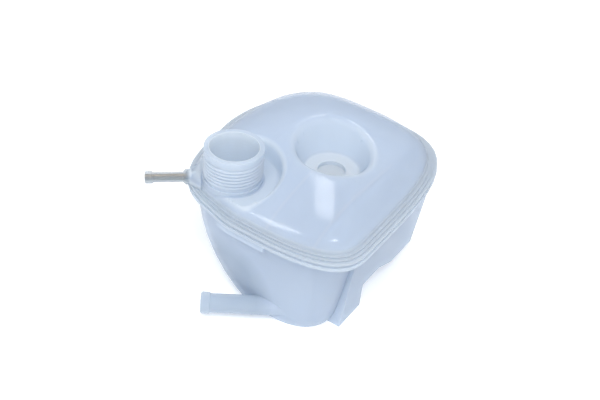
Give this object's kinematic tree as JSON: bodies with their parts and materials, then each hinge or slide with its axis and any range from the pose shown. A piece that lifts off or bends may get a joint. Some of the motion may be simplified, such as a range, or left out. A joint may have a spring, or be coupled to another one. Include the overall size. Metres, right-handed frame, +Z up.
{
  "type": "coolant expansion tank",
  "caption": "Moulded coolant expansion tank: milky two-shell reservoir welded round a stepped flange, with a threaded filler neck, a sleeved vent spigot and a hose outlet.",
  "frame": {"origin": "on the base plane, under the middle of the flange's outline", "axes": "+Z up, along the filler neck; +X towards the mounting rail; +Y from the end with the neck and spigots to the other end"},
  "size_m": [0.1911, 0.2399, 0.132],
  "materials": {
    "shell_plastic": "milky, translucent, slightly glossy",
    "sleeve_metal": "dull drawn tube"
  },
  "bodies": {
    "root": {"upper_shell": "shell_plastic", "lower_shell": "shell_plastic", "vent_sleeve": "sleeve_metal"}
  },
  "joints": []
}
